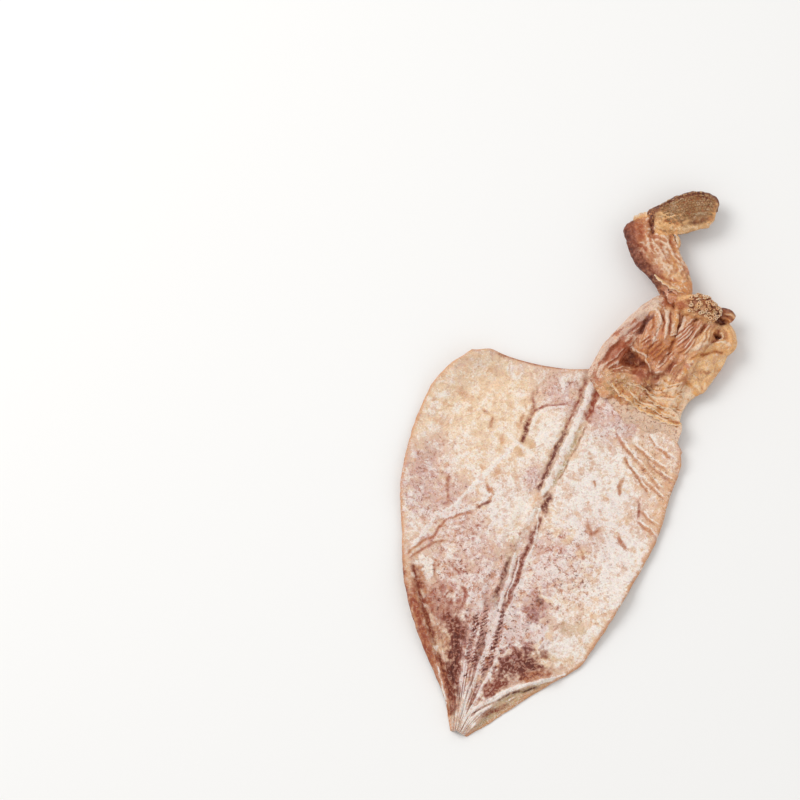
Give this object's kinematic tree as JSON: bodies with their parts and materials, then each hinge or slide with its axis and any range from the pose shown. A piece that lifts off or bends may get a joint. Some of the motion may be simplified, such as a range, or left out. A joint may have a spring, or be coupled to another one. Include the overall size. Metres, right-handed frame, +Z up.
{
  "type": "dried squid",
  "caption": "Whole dried squid lying flat: slit leaf-shaped mantle sheet with a pen ridge, crumpled head and folded arms at the collar.",
  "frame": {"origin": "on the floor, under the middle of the mantle, halfway between the tail tip and the peak of the collar", "axes": "+Y from the tail tip towards the head, +X to the right seen from above, +Z up from the floor"},
  "size_m": [0.1424, 0.3157, 0.0243],
  "materials": {
    "dried_flesh": "dry, powdery and slightly translucent"
  },
  "bodies": {
    "root": {"squid": "dried_flesh"}
  },
  "joints": []
}
